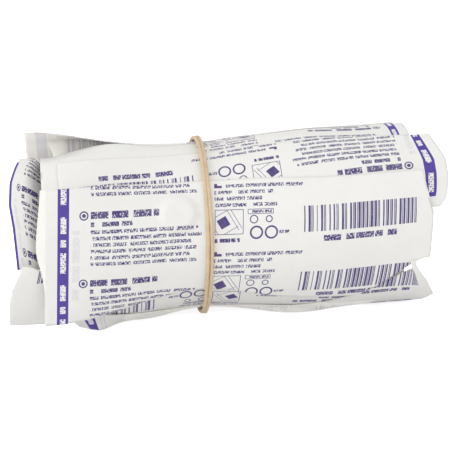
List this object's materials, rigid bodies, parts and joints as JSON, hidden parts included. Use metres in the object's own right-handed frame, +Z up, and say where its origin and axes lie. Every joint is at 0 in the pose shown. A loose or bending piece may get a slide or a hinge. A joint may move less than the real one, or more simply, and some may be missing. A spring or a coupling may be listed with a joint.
{
  "type": "banded bundle of sealed syringe packs",
  "caption": "Roll-shaped bundle of sealed paper-and-film syringe packs, stood off each other at the ends and held together by a doubled rubber band.",
  "frame": {"origin": "centre of the bottom of the bounding box, on the table", "axes": "+X along the bundle, away from the end near the rubber band; -Y is the side seen in the picture; +Z is up"},
  "size_m": [0.1516, 0.0686, 0.071],
  "materials": {
    "pack_paper": "matt, lightly waved",
    "band_rubber": "matt"
  },
  "bodies": {
    "root": {"front_pack": "pack_paper", "upper_pack": "pack_paper", "top_pack": "pack_paper", "crest_pack": "pack_paper", "rear_upper_pack": "pack_paper", "rear_pack": "pack_paper", "rear_lower_pack": "pack_paper", "bottom_pack": "pack_paper", "lower_front_pack": "pack_paper", "core_pack": "pack_paper", "rubber_band": "band_rubber"}
  },
  "joints": []
}
